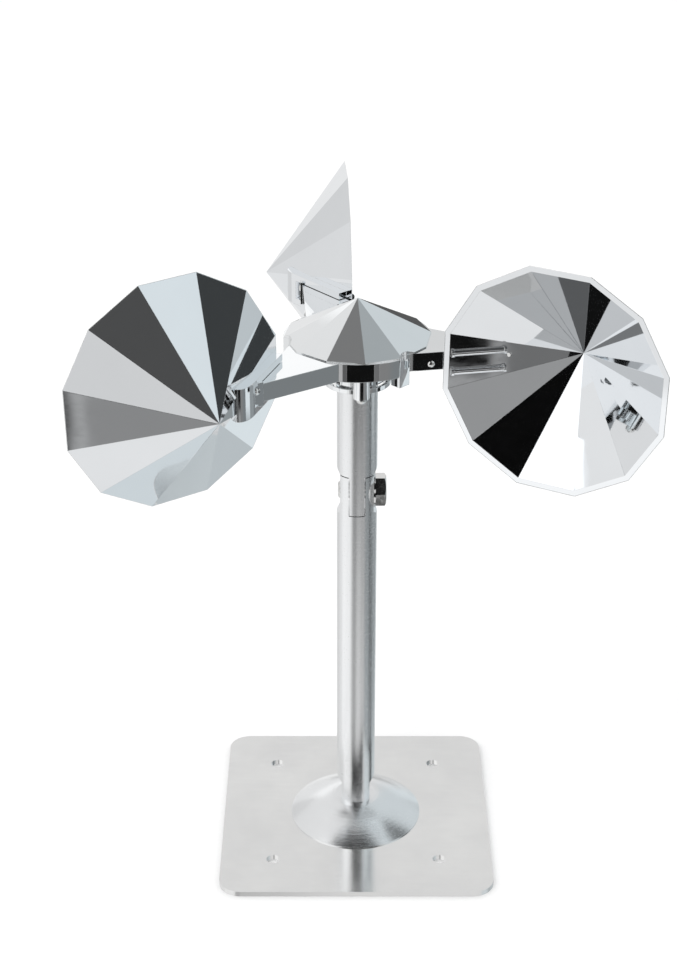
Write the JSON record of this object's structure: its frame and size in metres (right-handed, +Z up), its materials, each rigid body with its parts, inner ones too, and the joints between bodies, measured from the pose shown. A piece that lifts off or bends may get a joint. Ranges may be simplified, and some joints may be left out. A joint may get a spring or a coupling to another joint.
{
  "type": "cup anemometer rotor on a tilting mast",
  "caption": "Wind-driven rotor with mirror-plated faceted cups on a bearing hub, carried by a satin mast with a tilting knuckle and a square screw-down base plate.",
  "frame": {"origin": "centre of the base plate's underside, which is also the centre of its four fixing holes", "axes": "+Z up along the mast and the rotor axis, +X along the knuckle bolt towards its head, +Y towards the back"},
  "size_m": [0.2421, 0.2206, 0.2972],
  "materials": {
    "satin_aluminium": "satin, lightly turned aluminium of the mast",
    "plate_aluminium": "satin aluminium plate with fine brushing",
    "mirror_chrome": "polished mirror plating on faceted mouldings",
    "hub_chrome": "polished mirror plating on the hub",
    "bolt_steel": "polished zinc-plated steel fasteners",
    "bearing_steel": "ground bearing steel",
    "dark_steel": "dark oiled spring steel"
  },
  "bodies": {
    "stand": {"base_plate": "plate_aluminium", "base_flange": "plate_aluminium", "foot_screw": "bolt_steel", "mast_lower": "satin_aluminium", "knuckle_washer": "bolt_steel", "knuckle_bolt": "bolt_steel"},
    "upper_mast": {"mast_upper": "satin_aluminium", "spindle": "bearing_steel", "lower_inner_race": "bearing_steel", "race_spacer": "bearing_steel", "upper_inner_race": "bearing_steel", "spindle_washer": "bolt_steel", "spindle_nut": "bolt_steel"},
    "ball_rings": {"lower_balls": "bearing_steel", "upper_balls": "bearing_steel"},
    "rotor": {"lower_outer_race": "bearing_steel", "upper_outer_race": "bearing_steel", "retaining_ring": "dark_steel", "hub_frame": "hub_chrome", "hub_cap": "hub_chrome", "hub_screw_right": "bolt_steel", "hub_screw_left": "bolt_steel", "hub_screw_front": "bolt_steel", "cup_right": "mirror_chrome", "cup_back": "mirror_chrome", "cup_left": "mirror_chrome", "tip_rivet_right": "bolt_steel", "tip_rivet_back": "bolt_steel", "tip_rivet_left": "bolt_steel", "root_rivet_right": "bolt_steel", "root_rivet_back": "bolt_steel", "root_rivet_left": "bolt_steel"}
  },
  "joints": [
    {"name": "mast_tilt", "type": "hinge", "parent": "stand", "child": "upper_mast", "pos_m": [0, 0, 0.1775], "axis": [1, 0, 0], "range_deg": [-90, 0]},
    {"name": "rotor_spin", "type": "hinge", "parent": "upper_mast", "child": "rotor", "pos_m": [0, 0, 0.2475], "axis": [0, 0, 1], "continuous": true},
    {"name": "ball_ring_spin", "type": "hinge", "parent": "upper_mast", "child": "ball_rings", "pos_m": [0, 0, 0.2475], "axis": [0, 0, 1], "continuous": true}
  ],
  "couplings": [
    {"joint": "ball_ring_spin", "follows": "rotor_spin", "ratio": 0.6303}
  ]
}
